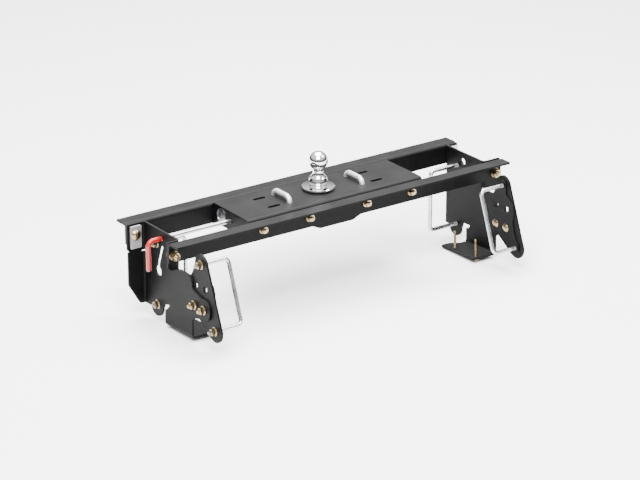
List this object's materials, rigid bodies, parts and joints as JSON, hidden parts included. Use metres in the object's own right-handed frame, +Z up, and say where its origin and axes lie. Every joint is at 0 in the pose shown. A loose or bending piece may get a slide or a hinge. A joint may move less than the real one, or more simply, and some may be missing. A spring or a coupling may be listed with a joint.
{
  "type": "under-bed gooseneck hitch kit",
  "caption": "Ball head between two cross rails, with folded side plates, frame plates and U-bolts that clamp it under a truck bed, and a red release handle.",
  "frame": {"origin": "where the ball's axis meets the head plate's top face", "axes": "+X along the rails to the passenger's side, +Y to the truck's front, +Z up along the ball's axis"},
  "size_m": [1.237, 0.451, 0.4222],
  "materials": {
    "black_powder_coat": "satin",
    "ball_chrome": "mirror polished",
    "bright_zinc": "bright zinc plate",
    "galvanised": "dull galvanised",
    "yellow_zinc": "yellow zinc plate",
    "grey_zinc": "dull zinc plate",
    "red_vinyl": "dipped vinyl",
    "bare_steel": "oiled steel",
    "spring_steel": "spring steel"
  },
  "bodies": {
    "frame": {"access_plugs": "bright_zinc", "ball_socket": "black_powder_coat", "block_washers": "grey_zinc", "cross_ribs": "black_powder_coat", "driver_end_plate": "black_powder_coat", "driver_frame_plate": "black_powder_coat", "driver_front_u_bolt": "bright_zinc", "driver_loop_springs": "spring_steel", "driver_packing_plate": "black_powder_coat", "driver_rear_u_bolt": "bright_zinc", "driver_side_plate": "black_powder_coat", "foot_bolts": "yellow_zinc", "front_rail": "black_powder_coat", "head_bolt_nuts": "yellow_zinc", "head_bolt_washers": "yellow_zinc", "head_bolts": "yellow_zinc", "head_channel": "black_powder_coat", "hitch_ball": "ball_chrome", "joint_bolts": "yellow_zinc", "joint_nuts": "yellow_zinc", "lock_guide_block": "black_powder_coat", "lock_spring": "spring_steel", "lock_spring_seat": "black_powder_coat", "loop_seat_washers": "grey_zinc", "passenger_end_plate": "black_powder_coat", "passenger_frame_plate": "black_powder_coat", "passenger_front_u_bolt": "bright_zinc", "passenger_loop_springs": "spring_steel", "passenger_packing_plate": "black_powder_coat", "passenger_rear_u_bolt": "bright_zinc", "passenger_side_plate": "black_powder_coat", "rail_end_carriage_bolts": "yellow_zinc", "rail_end_hex_bolts": "yellow_zinc", "rail_end_nuts": "yellow_zinc", "rail_end_washers": "yellow_zinc", "rear_rail": "black_powder_coat", "socket_gussets": "black_powder_coat", "u_bolt_nuts": "yellow_zinc"},
    "lock_slider": {"lock_pin": "bare_steel", "swivel_pins": "bare_steel"},
    "release_handle": {"release_rod": "bright_zinc", "handle_grip": "red_vinyl"},
    "driver_loop": {"driver_chain_loop": "galvanised", "driver_loop_washers": "grey_zinc", "driver_loop_nuts": "yellow_zinc"},
    "passenger_loop": {"passenger_chain_loop": "galvanised", "passenger_loop_washers": "grey_zinc", "passenger_loop_nuts": "yellow_zinc"}
  },
  "joints": [
    {"name": "handle_pull", "type": "slide", "parent": "frame", "child": "lock_slider", "axis": [-1, 0, 0], "range_m": [0, 0.03], "stiffness_N_per_m": 1500, "springref_m": -0.02, "deforming": ["lock_spring"]},
    {"name": "handle_turn", "type": "hinge", "parent": "lock_slider", "child": "release_handle", "pos_m": [-0.35, 0, -0.03], "axis": [1, 0, 0], "range_deg": [-45, 45]},
    {"name": "driver_loop_lift", "type": "slide", "parent": "frame", "child": "driver_loop", "axis": [0, 0, 1], "range_m": [0, 0.032], "stiffness_N_per_m": 1200, "springref_m": -0.01, "deforming": ["driver_loop_springs"]},
    {"name": "passenger_loop_lift", "type": "slide", "parent": "frame", "child": "passenger_loop", "axis": [0, 0, 1], "range_m": [0, 0.032], "stiffness_N_per_m": 1200, "springref_m": -0.01, "deforming": ["passenger_loop_springs"]}
  ]
}
